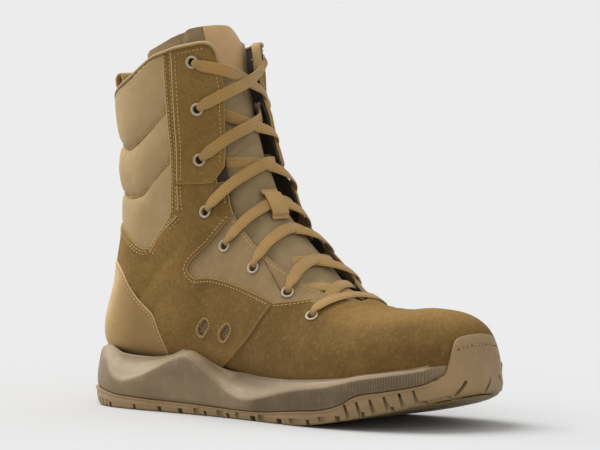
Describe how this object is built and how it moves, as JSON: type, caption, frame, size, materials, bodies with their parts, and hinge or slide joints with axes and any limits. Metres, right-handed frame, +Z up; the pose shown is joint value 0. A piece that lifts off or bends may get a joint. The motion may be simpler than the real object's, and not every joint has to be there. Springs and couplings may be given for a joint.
{
  "type": "work boot",
  "caption": "Right lace-up work boot with a suede and fabric upper, padded ankle shaft, wave-sided foam midsole and lugged rubber outsole.",
  "frame": {"origin": "on the floor, under the middle of the boot's length and width", "axes": "+X from heel to toe, +Y to the inner side of the foot, +Z up"},
  "size_m": [0.309, 0.1118, 0.2475],
  "materials": {
    "suede": "brushed golden brown suede with a short nap",
    "textile": "grey tan ribbed nylon, matte",
    "sock_lining": "dark knitted sock lining",
    "foam": "olive tan moulded foam, satin",
    "rubber": "tan moulded rubber, satin",
    "smooth_leather": "golden tan smooth nubuck with a soft sheen",
    "webbing": "tan woven webbing",
    "lace": "golden tan flat woven lace with lengthwise ribs",
    "eyelet": "tan coated metal ring"
  },
  "bodies": {
    "root": {"upper": "suede", "tongue": "textile", "insole": "sock_lining", "midsole": "foam", "outsole": "rubber", "heel_counter": "smooth_leather", "pull_loop": "webbing", "lace_keeper": "smooth_leather", "lace_bar": "lace", "lace_crossing_1": "lace", "lace_crossing_2": "lace", "lace_crossing_3": "lace", "lace_crossing_4": "lace", "lace_crossing_5": "lace", "lace_crossing_6": "lace", "lace_crossing_7": "lace", "eyelet_outer_1": "eyelet", "eyelet_inner_1": "eyelet", "eyelet_outer_2": "eyelet", "eyelet_inner_2": "eyelet", "eyelet_outer_3": "eyelet", "eyelet_inner_3": "eyelet", "eyelet_outer_4": "eyelet", "eyelet_inner_4": "eyelet", "eyelet_outer_5": "eyelet", "eyelet_inner_5": "eyelet", "eyelet_outer_6": "eyelet", "eyelet_inner_6": "eyelet", "eyelet_outer_7": "eyelet", "eyelet_inner_7": "eyelet", "eyelet_outer_8": "eyelet", "eyelet_inner_8": "eyelet"}
  },
  "joints": []
}
